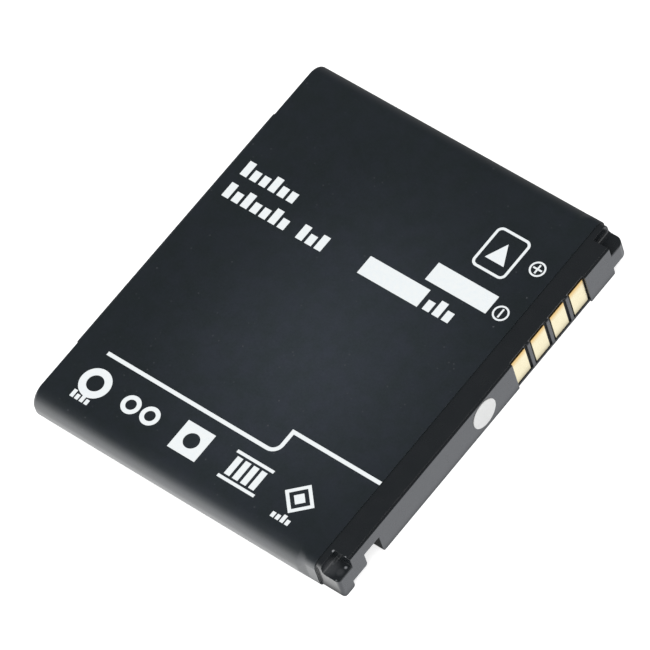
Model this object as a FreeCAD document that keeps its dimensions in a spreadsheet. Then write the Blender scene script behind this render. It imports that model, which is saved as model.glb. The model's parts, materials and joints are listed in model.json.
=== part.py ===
import FreeCAD, Part
import math
import os
import Sketcher

# Slim clip-in battery pack for a mobile phone: a flat lithium cell in a deep-drawn can,
# a moulded contact cap over its terminal end, and a printed film label around both.
#
# Frame: +X from the closed end of the can to the contacts, +Y along the contact edge,
# +Z out of the printed face. The origin is under the middle of the pack, on the face
# that it lies on. The pieces are drawn in a cell frame whose X starts at the closed end
# of the label, and each body is then moved back by half of the pack's depth.

SIZES = {
    # pack and label, outside sizes
    "pack_width": 47.84,
    "pack_thickness": 4.5,
    "corner_radius": 2.0,
    "end_radius": 0.4,
    "label_film": 0.1,
    "label_length": 37.005,
    "seam_gap": 0.15,
    "seam_start": 0.6,
    "flap_width": 32.0,
    "flap_step": 0.2,
    "flap_lift": 0.6,
    # can and what it holds
    "can_length": 34.665,
    "can_wall": 0.25,
    "can_base": 0.4,
    "lid_thickness": 0.6,
    "roll_clearance": 0.1,
    "roll_length": 32.065,
    "roll_slit": 0.25,
    "insulator_thickness": 0.3,
    "tab_thickness": 0.1,
    "tab_width": 3.0,
    "tab_foot": 1.6,
    "tab_leg_drop": 0.9,
    "tab_clearance": 0.1,
    "negative_tab_y": 4.5,
    "positive_tab_y": -14.0,
    # terminal through the lid
    "washer_thickness": 0.3,
    "washer_length": 12.0,
    "washer_width": 3.0,
    "rivet_plate_thickness": 0.2,
    "rivet_plate_length": 8.0,
    "rivet_plate_width": 2.2,
    "rivet_plate_offset": 2.5,
    "rivet_hole": 1.6,
    "rivet_shank": 1.1,
    "rivet_head_length": 4.0,
    "rivet_head_width": 1.8,
    "rivet_head_height": 0.25,
    "rivet_head_corner": 0.4,
    "swage_diameter": 1.7,
    "swage_height": 0.15,
    "gasket_length": 5.0,
    "gasket_width": 2.4,
    "gasket_flange": 0.2,
    "gasket_corner": 0.5,
    "fill_hole": 1.0,
    "fill_hole_y": -8.0,
    "fill_plug_head": 1.5,
    "fill_plug_height": 0.15,
    "vent_y": -11.6,
    "vent_length": 3.0,
    "vent_width": 1.4,
    "vent_depth": 0.45,
    # pieces under the cap
    "tape_thickness": 0.1,
    "tape_near": 3.5,
    "tape_far": 20.0,
    "tape_width": 3.4,
    "fuse_near": 6.0,
    "fuse_length": 5.6,
    "fuse_width": 2.8,
    "fuse_height": 0.8,
    "fuse_corner": 0.25,
    "strap_thickness": 0.1,
    "strap_width": 2.0,
    "strap_foot": 2.0,
    "fuse_strap_run": 1.6,
    "negative_strap_tail": 1.5,
    "block_near": -18.5,
    "block_length": 4.0,
    "block_width": 2.4,
    "block_height": 0.3,
    "positive_strap_lap": 3.0,
    # circuit board and its parts
    "board_near": -16.2,
    "board_far": 20.3,
    "board_thickness": 0.6,
    "board_edge": 0.05,
    "control_chip_y": -8.4,
    "control_chip_length": 2.9,
    "control_chip_width": 1.6,
    "control_chip_height": 0.9,
    "control_lead_pitch": 0.95,
    "switch_chip_y": -2.6,
    "switch_chip_length": 3.6,
    "switch_chip_width": 2.2,
    "switch_chip_height": 0.85,
    "switch_lead_pitch": 0.8,
    "lead_width": 0.3,
    "lead_reach": 0.3,
    "lead_height": 0.35,
    "resistor_length": 1.0,
    "resistor_width": 0.5,
    "resistor_height": 0.35,
    "capacitor_length": 1.6,
    "capacitor_width": 0.8,
    "capacitor_height": 0.7,
    "resistor_1_y": 1.4,
    "resistor_1_z": 1.2,
    "resistor_2_y": 1.4,
    "resistor_2_z": 2.6,
    "resistor_3_y": -11.6,
    "resistor_3_z": 3.2,
    "capacitor_1_y": 3.6,
    "capacitor_1_z": 2.0,
    "capacitor_2_y": -5.6,
    "capacitor_2_z": 3.2,
    # contacts
    "contact_centre": 11.1,
    "contact_pitch": 3.157,
    "contact_width": 2.17,
    "contact_thickness": 0.12,
    "contact_edge": 0.03,
    # moulded cap
    "cap_length": 46.66,
    "cap_depth": 2.636,
    "cap_corner": 0.4,
    "tab_corner": 0.9,
    "shoulder_gap": 0.08,
    "collar_width": 47.0,
    "collar_radius": 0.9,
    "collar_blend": 1.0,
    "collar_wall": 0.2,
    "roof": 0.2,
    "floor": 0.3,
    "front_wall": 0.396,
    "bay_clearance": 0.1,
    "window_near": 5.14,
    "window_far": 17.07,
    "sill_recess": 0.2,
    "divider_width": 0.41,
    "divider_depth": 0.256,
    "divider_round": 0.18,
    "shelf_height": 3.06,
    "shelf_length": 2.23,
    "flange_depth": 0.62,
    "shelf_radius": 0.4,
    "shelf_front_round": 0.2,
    "flange_round": 0.6,
    "brow_depth": 0.27,
    "brow_drop": 0.1,
    "latch_near": 4.01,
    "latch_far": 6.38,
    "latch_height": 2.75,
    "latch_depth": 1.9,
    "latch_round": 0.35,
    "relief_near": 1.75,
    "relief_height": 0.95,
    "relief_depth": 1.6,
    "relief_round": 0.3,
    "heel_start": 2.33,
    "heel_height": 1.0,
    "foot_radius": 0.65,
    "heel_radius": 0.6,
    "heel_round": 0.25,
    "disc_diameter": 3.4,
    "disc_thickness": 0.08,
    "disc_height": 2.38,
    # print on the label
    "ink": 0.02,
    "rule_start": 3.665,
    "rule_stroke": 0.44,
    "rule_low": -15.55,
    "rule_high": -12.69,
    "rule_step": 25.765,
    "rule_bend": 1.1,
    "panel_length": 7.75,
    "panel_width": 2.3,
    "panel_1_x": 23.415,
    "panel_1_y": 6.55,
    "panel_2_x": 29.865,
    "panel_2_y": 9.58,
    "frame_length": 4.25,
    "frame_width": 5.2,
    "frame_corner": 0.75,
    "frame_stroke": 0.3,
    "frame_x": 30.74,
    "frame_y": 14.95,
    "delta_size": 2.4,
    "sign_x": 35.065,
    "plus_y": 15.36,
    "minus_y": 9.28,
    "sign_diameter": 1.8,
    "sign_stroke": 0.2,
    "sign_bar": 1.1,
    "letter_pitch": 1.22,
    "letter_width": 0.86,
    "letter_tall": 1.85,
    "letter_short": 1.25,
    "title_x": 1.665,
    "title_1_y": 8.35,
    "title_2_y": 5.35,
    "unit_x": 27.865,
    "unit_y": 5.5,
    "small_scale": 0.5,
    "mark_row": -19.0,
    "mark_size": 3.55,
    "mark_stroke": 0.35,
    "disc_mark_x": 4.865,
    "disc_mark_hole": 1.9,
    "ring_mark_1_x": 9.615,
    "ring_mark_2_x": 12.115,
    "ring_mark_diameter": 2.2,
    "ring_mark_hole": 1.2,
    "square_mark_x": 17.585,
    "square_mark_hole": 1.8,
    "bars_mark_x": 24.665,
    "bars_mark_length": 4.75,
    "bars_mark_bar": 2.3,
    "bars_mark_stroke": 0.7,
    "bars_mark_pitch": 1.05,
    "diamond_mark_x": 31.165,
    "diamond_mark_y": -18.4,
    "diamond_mark_size": 3.8,
    "diamond_mark_hole": 2.75,
    "diamond_mark_core": 1.5,
    "caption_y": -21.5,
    "caption_1_x": 3.465,
    "caption_2_x": 29.765,
}

document = FreeCAD.newDocument("PhoneBattery")
sheet = document.addObject("Spreadsheet::Sheet", "Sizes")
for row, (alias, value) in enumerate(SIZES.items(), start=1):
    sheet.set(f"A{row}", str(value))
    sheet.setAlias(f"A{row}", alias)
document.recompute()

# Places and sizes that follow from the driving ones, as expressions.
MIDDLE_Z = "(Sizes.pack_thickness / 2)"
CAN_WIDTH = "(Sizes.pack_width - 2 * Sizes.label_film)"
CAN_THICKNESS = "(Sizes.pack_thickness - 2 * Sizes.label_film)"
CAN_RADIUS = "(Sizes.corner_radius - Sizes.label_film)"
BORE_WIDTH = f"({CAN_WIDTH} - 2 * Sizes.can_wall)"
BORE_THICKNESS = f"({CAN_THICKNESS} - 2 * Sizes.can_wall)"
BORE_RADIUS = f"({CAN_RADIUS} - Sizes.can_wall)"
ROLL_WIDTH = f"({BORE_WIDTH} - 2 * Sizes.roll_clearance)"
ROLL_THICKNESS = f"({BORE_THICKNESS} - 2 * Sizes.roll_clearance)"
ROLL_START = "(Sizes.label_film + Sizes.can_base)"
ROLL_END = f"({ROLL_START} + Sizes.roll_length)"
MOUTH = "(Sizes.label_film + Sizes.can_length)"
COLLAR_START = f"({MOUTH} + Sizes.collar_blend)"
LID_INSIDE = f"({MOUTH} - Sizes.lid_thickness)"
WASHER_INSIDE = f"({LID_INSIDE} - Sizes.washer_thickness)"
PLATE_INSIDE = f"({WASHER_INSIDE} - Sizes.rivet_plate_thickness)"
TAB_LEG_Z = f"({MIDDLE_Z} - Sizes.tab_leg_drop)"
HEAD_SEAT = f"({MOUTH} + Sizes.gasket_flange)"
HEAD_TOP = f"({HEAD_SEAT} + Sizes.rivet_head_height)"
FUSE_SEAT = f"({MOUTH} + Sizes.tape_thickness)"
FUSE_FAR = "(Sizes.fuse_near + Sizes.fuse_length)"
FUSE_LEG_Y = f"({FUSE_FAR} + Sizes.fuse_strap_run)"
BLOCK_TOP = f"({MOUTH} + Sizes.block_height)"
BLOCK_FAR = "(Sizes.block_near + Sizes.block_length)"
SHOULDER = "(Sizes.label_length + Sizes.shoulder_gap)"
CAP_TOP = "(Sizes.pack_thickness - Sizes.label_film)"
CAP_END = "(Sizes.cap_length / 2)"
LATCH_NEAR = f"(Sizes.latch_near - {CAP_END})"
LATCH_FAR = f"(Sizes.latch_far - {CAP_END})"
RELIEF_NEAR = f"(Sizes.relief_near - {CAP_END})"
HEEL_START = f"({CAP_END} - Sizes.heel_start)"
FRONT = f"({SHOULDER} + Sizes.cap_depth)"
BOARD_FRONT = f"({FRONT} - Sizes.front_wall)"
BOARD_BACK = f"({BOARD_FRONT} - Sizes.board_thickness)"
BOARD_BOTTOM = "(Sizes.floor + Sizes.board_edge)"
BOARD_TOP = f"({CAP_TOP} - Sizes.roof - Sizes.board_edge)"
FLANGE_FRONT = f"({SHOULDER} + Sizes.flange_depth)"
HALF_DEPTH_BACK = f"(-({FRONT} + Sizes.disc_thickness - Sizes.flap_step) / 2)"

nodes = []


def number(expression):
    """The present value of an expression, in millimetres."""
    return float(sheet.evalExpression(expression.replace("Sizes.", "")))


def new_body(label, x="0", y="0", z="0"):
    """An empty body for one piece, placed from the closed end of the label."""
    body = document.addObject("PartDesign::Body", label)
    body.Label = label
    body.setExpression("Placement.Base.x", f"{HALF_DEPTH_BACK} + {x}")
    body.setExpression("Placement.Base.y", y)
    body.setExpression("Placement.Base.z", z)
    nodes.append(body)
    return body


def origin_feature(body, role):
    """The body's own origin plane or axis of this role."""
    return next(feature for feature in body.Origin.OriginFeatures if feature.Role == role)


def new_sketch(body, name, plane, **offset):
    """A sketch on an origin plane, moved in its own x, y and z by expressions."""
    sketch = body.newObject("Sketcher::SketchObject", name)
    sketch.AttachmentSupport = [(origin_feature(body, plane), "")]
    sketch.MapMode = "FlatFace"
    for axis, expression in offset.items():
        sketch.setExpression(f"AttachmentOffset.Base.{axis}", expression)
    return sketch


def bind(sketch, kind, *items):
    """Add a dimension whose last item is the expression that drives it."""
    expression = items[-1]
    index = sketch.addConstraint(Sketcher.Constraint(kind, *items[:-1], number(expression)))
    sketch.setExpression(f"Constraints[{index}]", expression)


def vector(x, y):
    return FreeCAD.Vector(x, y, 0)


def near(value, target, room=1e-4):
    return abs(value - target) < room


def circle(sketch, diameter, x="0", y="0"):
    """Circle about a point of the sketch."""
    centre = vector(number(x), number(y))
    shape = Part.Circle(centre, FreeCAD.Vector(0, 0, 1), number(diameter) / 2)
    index = sketch.addGeometry(shape, False)
    bind(sketch, "Diameter", index, diameter)
    bind(sketch, "DistanceX", -1, 1, index, 3, x)
    bind(sketch, "DistanceY", -1, 1, index, 3, y)


def outline(sketch, corners):
    """Closed outline through corners given as (x, y) expressions.

    A corner (x, y, radius, turn) is reached from the one before it by an arc of that
    radius, which turns left for "left" and right for "right". A half-round arc joins two
    corners of the same x, and its centre is held there.
    """
    places = [vector(number(corner[0]), number(corner[1])) for corner in corners]
    edges = []
    for index, corner in enumerate(corners):
        start, end = places[index - 1], places[index]
        if len(corner) == 2:
            geometry = sketch.addGeometry(Part.LineSegment(start, end), False)
            edges.append((geometry, 1, 2))
            continue
        radius, turn = number(corner[2]), corner[3]
        chord = end - start
        half = chord.Length / 2
        side = vector(-chord.y, chord.x).normalize() * (1 if turn == "left" else -1)
        centre = (start + end) / 2 + side * math.sqrt(max(radius ** 2 - half ** 2, 0))
        first, last = (start, end) if turn == "left" else (end, start)
        arc = Part.ArcOfCircle(
            Part.Circle(centre, FreeCAD.Vector(0, 0, 1), radius),
            math.atan2(first.y - centre.y, first.x - centre.x),
            math.atan2(last.y - centre.y, last.x - centre.x),
        )
        geometry = sketch.addGeometry(arc, False)
        edges.append((geometry, 1, 2) if turn == "left" else (geometry, 2, 1))
        if near(radius, half):
            bind(sketch, "DistanceX", -1, 1, geometry, 3, corner[0])
        else:
            bind(sketch, "Radius", geometry, corner[2])
    for index, (geometry, start, end) in enumerate(edges):
        following, following_start, _ = edges[(index + 1) % len(edges)]
        sketch.addConstraint(Sketcher.Constraint("Coincident", geometry, end, following, following_start))
        bind(sketch, "DistanceX", -1, 1, geometry, end, corners[index][0])
        bind(sketch, "DistanceY", -1, 1, geometry, end, corners[index][1])


def box_outline(sketch, left, right, bottom, top):
    """Rectangle between two x and two y places."""
    outline(sketch, [(left, bottom), (right, bottom), (right, top), (left, top)])


def rectangle(sketch, width, height, x="0", y="0"):
    """Rectangle centred on a point of the sketch."""
    box_outline(
        sketch,
        f"{x} - {width} / 2", f"{x} + {width} / 2",
        f"{y} - {height} / 2", f"{y} + {height} / 2",
    )


def rounded_rectangle(sketch, width, height, radius, x="0", y="0"):
    """Rectangle with four equal round corners, centred on a point of the sketch."""
    left, right = f"{x} - {width} / 2", f"{x} + {width} / 2"
    bottom, top = f"{y} - {height} / 2", f"{y} + {height} / 2"
    outline(sketch, [
        (f"{right} - {radius}", bottom),
        (right, f"{bottom} + {radius}", radius, "left"),
        (right, f"{top} - {radius}"),
        (f"{right} - {radius}", top, radius, "left"),
        (f"{left} + {radius}", top),
        (left, f"{top} - {radius}", radius, "left"),
        (left, f"{bottom} + {radius}"),
        (f"{left} + {radius}", bottom, radius, "left"),
    ])


def racetrack(sketch, width, height, x="0", y="0"):
    """Slot shape with half-round ends, long in the sketch's x."""
    left, right = f"{x} - {width} / 2 + {height} / 2", f"{x} + {width} / 2 - {height} / 2"
    bottom, top = f"{y} - {height} / 2", f"{y} + {height} / 2"
    outline(sketch, [
        (right, bottom),
        (right, top, f"{height} / 2", "left"),
        (left, top),
        (left, bottom, f"{height} / 2", "left"),
    ])


def pad(body, sketch, length, side="One side", backwards=False):
    """Raise a sketch along its plane's normal, against it, or to both sides."""
    feature = body.newObject("PartDesign::Pad", sketch.Name + "Pad")
    feature.Profile = sketch
    feature.SideType = side
    feature.Reversed = backwards
    feature.setExpression("Length", length)
    return feature


def pocket(body, sketch, depth, backwards=False):
    """Cut a sketch against its plane's normal, or along it, and see that it cuts."""
    document.recompute()
    before = body.Shape.Volume
    feature = body.newObject("PartDesign::Pocket", sketch.Name + "Pocket")
    feature.Profile = sketch
    feature.Reversed = backwards
    feature.setExpression("Length", depth)
    document.recompute()
    if not body.Shape.Volume < before:
        raise RuntimeError(f"{sketch.Label} cuts nothing")
    return feature


def slab(label, section, start, length, x="0", y="0", z="0"):
    """Body made of one section across the cell, raised along +X from its start."""
    body = new_body(label, x, y, z)
    sketch = new_sketch(body, label + "_section", "YZ_Plane", z=start, y=MIDDLE_Z)
    section(sketch)
    pad(body, sketch, length)
    return body


def edges_of(shape, test):
    """Names of the edges whose box passes a test."""
    return [f"Edge{i}" for i, edge in enumerate(shape.Edges, start=1) if test(edge.BoundBox)]


def blend_sections(body, name, kind, first, second, begin, end):
    """Loft from one rounded section across the cell to another, added or taken away."""
    sketches = []
    for step, (section, place) in enumerate(((first, begin), (second, end)), start=1):
        sketch = new_sketch(body, f"{name}_{step}", "YZ_Plane", z=place, y=MIDDLE_Z)
        rounded_rectangle(sketch, *section)
        sketches.append(sketch)
    feature = body.newObject(f"PartDesign::{kind}Loft", name)
    feature.Profile = sketches[0]
    feature.Sections = sketches[1:]
    feature.Ruled = True
    return feature


def round_closed_end(body, base, start, radius):
    """Round the edge loop of the closed end, which lies at a place along X."""
    document.recompute()
    place = number(start)
    feature = body.newObject("PartDesign::Fillet", body.Label + "_end_round")
    names = edges_of(base.Shape, lambda box: near(box.XMin, place) and near(box.XMax, place))
    feature.Base = (base, names)
    feature.setExpression("Radius", radius)
    return feature


def make_cell_can():
    """Deep-drawn can: one closed end, round corners and an open mouth for the lid."""
    body = new_body("cell_can")
    section = new_sketch(body, "can_section", "YZ_Plane", z="Sizes.label_film", y=MIDDLE_Z)
    rounded_rectangle(section, CAN_WIDTH, CAN_THICKNESS, CAN_RADIUS)
    outer = pad(body, section, "Sizes.can_length")
    round_closed_end(body, outer, "Sizes.label_film", "Sizes.end_radius - Sizes.label_film")
    bore = new_sketch(body, "can_bore", "YZ_Plane", z=MOUTH, y=MIDDLE_Z)
    rounded_rectangle(bore, BORE_WIDTH, BORE_THICKNESS, BORE_RADIUS)
    pocket(body, bore, "Sizes.can_length - Sizes.can_base")


def make_jelly_roll():
    """Flat-wound electrode roll with the slit that its winding blade leaves."""
    body = slab(
        "jelly_roll",
        lambda sketch: racetrack(sketch, ROLL_WIDTH, ROLL_THICKNESS),
        ROLL_START, "Sizes.roll_length",
    )
    slit = new_sketch(body, "roll_slit_section", "YZ_Plane", z=ROLL_END, y=MIDDLE_Z)
    racetrack(slit, f"({ROLL_WIDTH} - {ROLL_THICKNESS})", "Sizes.roll_slit")
    pocket(body, slit, "Sizes.roll_length")


def make_roll_insulator():
    """Plate between the roll and the lid, slotted for the two tabs."""
    width = f"({BORE_WIDTH} - 2 * Sizes.roll_clearance)"
    thickness = f"({BORE_THICKNESS} - 2 * Sizes.roll_clearance)"
    radius = f"({BORE_RADIUS} - Sizes.roll_clearance)"
    body = slab(
        "roll_insulator",
        lambda sketch: rounded_rectangle(sketch, width, thickness, radius),
        ROLL_END, "Sizes.insulator_thickness",
    )
    slot_end = f"({ROLL_END} + Sizes.insulator_thickness)"
    for name, place in (("negative", "Sizes.negative_tab_y"), ("positive", "Sizes.positive_tab_y")):
        slot = new_sketch(body, name + "_slot", "YZ_Plane", z=slot_end, y=TAB_LEG_Z)
        rectangle(
            slot,
            "(Sizes.tab_width + 2 * Sizes.tab_clearance)",
            "(Sizes.tab_thickness + 2 * Sizes.tab_clearance)",
            place, "Sizes.tab_thickness / 2",
        )
        pocket(body, slot, "Sizes.insulator_thickness")


def make_inner_tab(label, place, seat):
    """Strip from the roll, bent flat under the piece that it is welded to."""
    body = new_body(label)
    sketch = new_sketch(body, label + "_profile", "XZ_Plane", z=f"-({place})")
    outline(sketch, [
        (ROLL_END, TAB_LEG_Z),
        (seat, TAB_LEG_Z),
        (seat, f"{TAB_LEG_Z} + Sizes.tab_foot"),
        (f"{seat} - Sizes.tab_thickness", f"{TAB_LEG_Z} + Sizes.tab_foot"),
        (f"{seat} - Sizes.tab_thickness", f"{TAB_LEG_Z} + Sizes.tab_thickness"),
        (ROLL_END, f"{TAB_LEG_Z} + Sizes.tab_thickness"),
    ])
    pad(body, sketch, "Sizes.tab_width", side="Symmetric")


def bore_through(body, name, end, depth, diameter, place="0"):
    """Round hole along X that starts at the piece's outer face."""
    sketch = new_sketch(body, name, "YZ_Plane", z=end, y=MIDDLE_Z)
    circle(sketch, diameter, place)
    pocket(body, sketch, depth)


def make_lid_terminal():
    """Lid of the can with the riveted negative terminal, fill plug and vent score."""
    lid = slab(
        "can_lid",
        lambda sketch: rounded_rectangle(sketch, BORE_WIDTH, BORE_THICKNESS, BORE_RADIUS),
        LID_INSIDE, "Sizes.lid_thickness",
    )
    bore_through(lid, "rivet_bore", MOUTH, "Sizes.lid_thickness", "Sizes.rivet_hole")
    bore_through(lid, "fill_bore", MOUTH, "Sizes.lid_thickness", "Sizes.fill_hole", "Sizes.fill_hole_y")
    vent = new_sketch(lid, "vent_score", "YZ_Plane", z=MOUTH, y=MIDDLE_Z)
    racetrack(vent, "Sizes.vent_length", "Sizes.vent_width", "Sizes.vent_y")
    pocket(lid, vent, "Sizes.vent_depth")

    washer = slab(
        "inner_insulator",
        lambda sketch: rectangle(
            sketch, "Sizes.washer_length", "Sizes.washer_width", "Sizes.rivet_plate_offset"),
        WASHER_INSIDE, "Sizes.washer_thickness",
    )
    bore_through(washer, "washer_bore", LID_INSIDE, "Sizes.washer_thickness", "Sizes.rivet_shank")

    plate = slab(
        "rivet_plate",
        lambda sketch: rectangle(
            sketch, "Sizes.rivet_plate_length", "Sizes.rivet_plate_width", "Sizes.rivet_plate_offset"),
        PLATE_INSIDE, "Sizes.rivet_plate_thickness",
    )
    bore_through(plate, "plate_bore", WASHER_INSIDE, "Sizes.rivet_plate_thickness", "Sizes.rivet_shank")

    gasket = slab(
        "rivet_gasket",
        lambda sketch: rounded_rectangle(
            sketch, "Sizes.gasket_length", "Sizes.gasket_width", "Sizes.gasket_corner"),
        MOUTH, "Sizes.gasket_flange",
    )
    neck = new_sketch(gasket, "gasket_neck", "YZ_Plane", z=MOUTH, y=MIDDLE_Z)
    circle(neck, "Sizes.rivet_hole")
    pad(gasket, neck, "Sizes.lid_thickness", backwards=True)
    bore_through(
        gasket, "gasket_bore", HEAD_SEAT,
        "(Sizes.lid_thickness + Sizes.gasket_flange)", "Sizes.rivet_shank")

    rivet = slab(
        "negative_rivet",
        lambda sketch: rounded_rectangle(
            sketch, "Sizes.rivet_head_length", "Sizes.rivet_head_width", "Sizes.rivet_head_corner"),
        HEAD_SEAT, "Sizes.rivet_head_height",
    )
    shank = new_sketch(rivet, "rivet_shank_section", "YZ_Plane", z=HEAD_SEAT, y=MIDDLE_Z)
    circle(shank, "Sizes.rivet_shank")
    pad(rivet, shank, f"({HEAD_SEAT} - {PLATE_INSIDE} + Sizes.swage_height)", backwards=True)
    swage = new_sketch(rivet, "rivet_swage", "YZ_Plane", z=PLATE_INSIDE, y=MIDDLE_Z)
    circle(swage, "Sizes.swage_diameter")
    pad(rivet, swage, "Sizes.swage_height", backwards=True)

    plug = new_body("fill_plug", MOUTH, "Sizes.fill_hole_y", MIDDLE_Z)
    head = new_sketch(plug, "plug_head", "YZ_Plane")
    circle(head, "Sizes.fill_plug_head")
    pad(plug, head, "Sizes.fill_plug_height")
    stem = new_sketch(plug, "plug_stem", "YZ_Plane")
    circle(stem, "Sizes.fill_hole")
    pad(plug, stem, "Sizes.lid_thickness", backwards=True)


def make_strap(label, corners):
    """Flat nickel strap, drawn from above and as wide as all the straps."""
    body = new_body(label)
    sketch = new_sketch(body, label + "_profile", "XY_Plane", z=MIDDLE_Z)
    outline(sketch, corners)
    pad(body, sketch, "Sizes.strap_width", side="Symmetric")


def make_cap_wiring():
    """Tape, thermal fuse, positive block and the straps up to the circuit board."""
    thickness = "Sizes.strap_thickness"
    slab(
        "lid_tape",
        lambda sketch: rectangle(
            sketch, "(Sizes.tape_far - Sizes.tape_near)", "Sizes.tape_width",
            "(Sizes.tape_far + Sizes.tape_near) / 2"),
        MOUTH, "Sizes.tape_thickness",
    )
    slab(
        "thermal_fuse",
        lambda sketch: rounded_rectangle(
            sketch, "Sizes.fuse_length", "Sizes.fuse_width", "Sizes.fuse_corner",
            "Sizes.fuse_near + Sizes.fuse_length / 2"),
        FUSE_SEAT, "Sizes.fuse_height",
    )
    slab(
        "positive_block",
        lambda sketch: rectangle(
            sketch, "Sizes.block_length", "Sizes.block_width",
            "Sizes.block_near + Sizes.block_length / 2"),
        MOUTH, "Sizes.block_height",
    )
    make_strap("negative_strap", [
        (HEAD_TOP, "-Sizes.negative_strap_tail"),
        (f"{HEAD_TOP} + {thickness}", "-Sizes.negative_strap_tail"),
        (f"{HEAD_TOP} + {thickness}", "Sizes.fuse_near"),
        (HEAD_TOP, "Sizes.fuse_near"),
    ])
    make_strap("fuse_strap", [
        (HEAD_TOP, FUSE_FAR),
        (f"{HEAD_TOP} + {thickness}", FUSE_FAR),
        (f"{HEAD_TOP} + {thickness}", f"{FUSE_LEG_Y} - {thickness}"),
        (BOARD_BACK, f"{FUSE_LEG_Y} - {thickness}"),
        (BOARD_BACK, f"{FUSE_LEG_Y} + Sizes.strap_foot"),
        (f"{BOARD_BACK} - {thickness}", f"{FUSE_LEG_Y} + Sizes.strap_foot"),
        (f"{BOARD_BACK} - {thickness}", FUSE_LEG_Y),
        (HEAD_TOP, FUSE_LEG_Y),
    ])
    make_strap("positive_strap", [
        (BLOCK_TOP, f"{BLOCK_FAR} - Sizes.positive_strap_lap"),
        (f"{BLOCK_TOP} + {thickness}", f"{BLOCK_FAR} - Sizes.positive_strap_lap"),
        (f"{BLOCK_TOP} + {thickness}", f"{BLOCK_FAR} - {thickness}"),
        (BOARD_BACK, f"{BLOCK_FAR} - {thickness}"),
        (BOARD_BACK, f"{BLOCK_FAR} + Sizes.strap_foot"),
        (f"{BOARD_BACK} - {thickness}", f"{BLOCK_FAR} + Sizes.strap_foot"),
        (f"{BOARD_BACK} - {thickness}", BLOCK_FAR),
        (BLOCK_TOP, BLOCK_FAR),
    ])


def make_chip(label, place, size, pitch, lead_count):
    """Moulded chip on the back of the board, with a row of leads on each long side."""
    length, width, height = (f"Sizes.{size}_{part}" for part in ("length", "width", "height"))
    body = new_body(label, BOARD_BACK, place, MIDDLE_Z)
    top = new_sketch(body, label + "_top", "YZ_Plane")
    rectangle(top, length, width)
    pad(body, top, height, backwards=True)
    lead = new_sketch(body, label + "_lead", "YZ_Plane")
    first = f"(-{pitch} * {(lead_count - 1) / 2})"
    rectangle(lead, "Sizes.lead_width", f"({width} + 2 * Sizes.lead_reach)", first)
    leads = pad(body, lead, "Sizes.lead_height", backwards=True)
    row = body.newObject("PartDesign::LinearPattern", label + "_lead_row")
    row.Originals = [leads]
    row.Direction = (origin_feature(body, "Y_Axis"), [""])
    row.Mode = "Spacing"
    row.setExpression("Offset", pitch)
    row.Occurrences = lead_count
    body.Tip = row


def make_board_parts():
    """Protection circuit board with its chips and small parts on the cell's side."""
    board = new_body("circuit_board")
    face = new_sketch(board, "board_face", "YZ_Plane", z=BOARD_BACK)
    box_outline(face, "Sizes.board_near", "Sizes.board_far", BOARD_BOTTOM, BOARD_TOP)
    pad(board, face, "Sizes.board_thickness")
    make_chip("protection_chip", "Sizes.control_chip_y", "control_chip", "Sizes.control_lead_pitch", 3)
    make_chip("mosfet_chip", "Sizes.switch_chip_y", "switch_chip", "Sizes.switch_lead_pitch", 4)
    small_parts = (("resistor", 3), ("capacitor", 2))
    for kind, count in small_parts:
        for copy in range(1, count + 1):
            name = f"{kind}_{copy}"
            piece = new_body("chip_" + name, BOARD_BACK, f"Sizes.{name}_y", f"Sizes.{name}_z")
            top = new_sketch(piece, name + "_top", "YZ_Plane")
            rectangle(top, f"Sizes.{kind}_length", f"Sizes.{kind}_width")
            pad(piece, top, f"Sizes.{kind}_height", backwards=True)


def make_contacts(count=4):
    """Gold-plated contact plates, soldered side by side on the front of the board."""
    for copy in range(count):
        place = f"Sizes.contact_centre + Sizes.contact_pitch * {(count - 1) / 2 - copy}"
        contact = new_body(f"contact_pad_{copy + 1}", BOARD_FRONT, place)
        face = new_sketch(contact, f"contact_face_{copy + 1}", "YZ_Plane")
        low, high = f"{BOARD_BOTTOM} + Sizes.contact_edge", f"{BOARD_TOP} - Sizes.contact_edge"
        box_outline(face, "-Sizes.contact_width / 2", "Sizes.contact_width / 2", low, high)
        pad(contact, face, "Sizes.contact_thickness")


def round_corner(body, name, y, z, side_y, side_z, radius, front, depth):
    """Round a corner seen from the front; the plastic lies on its given sides of y and z."""
    sketch = new_sketch(body, name, "YZ_Plane", z=front)
    outline(sketch, [
        (y, z),
        (f"{y} + {side_y} * {radius}", z),
        (y, f"{z} + {side_z} * {radius}", radius, "right" if side_y * side_z > 0 else "left"),
    ])
    return pocket(body, sketch, depth)


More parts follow.
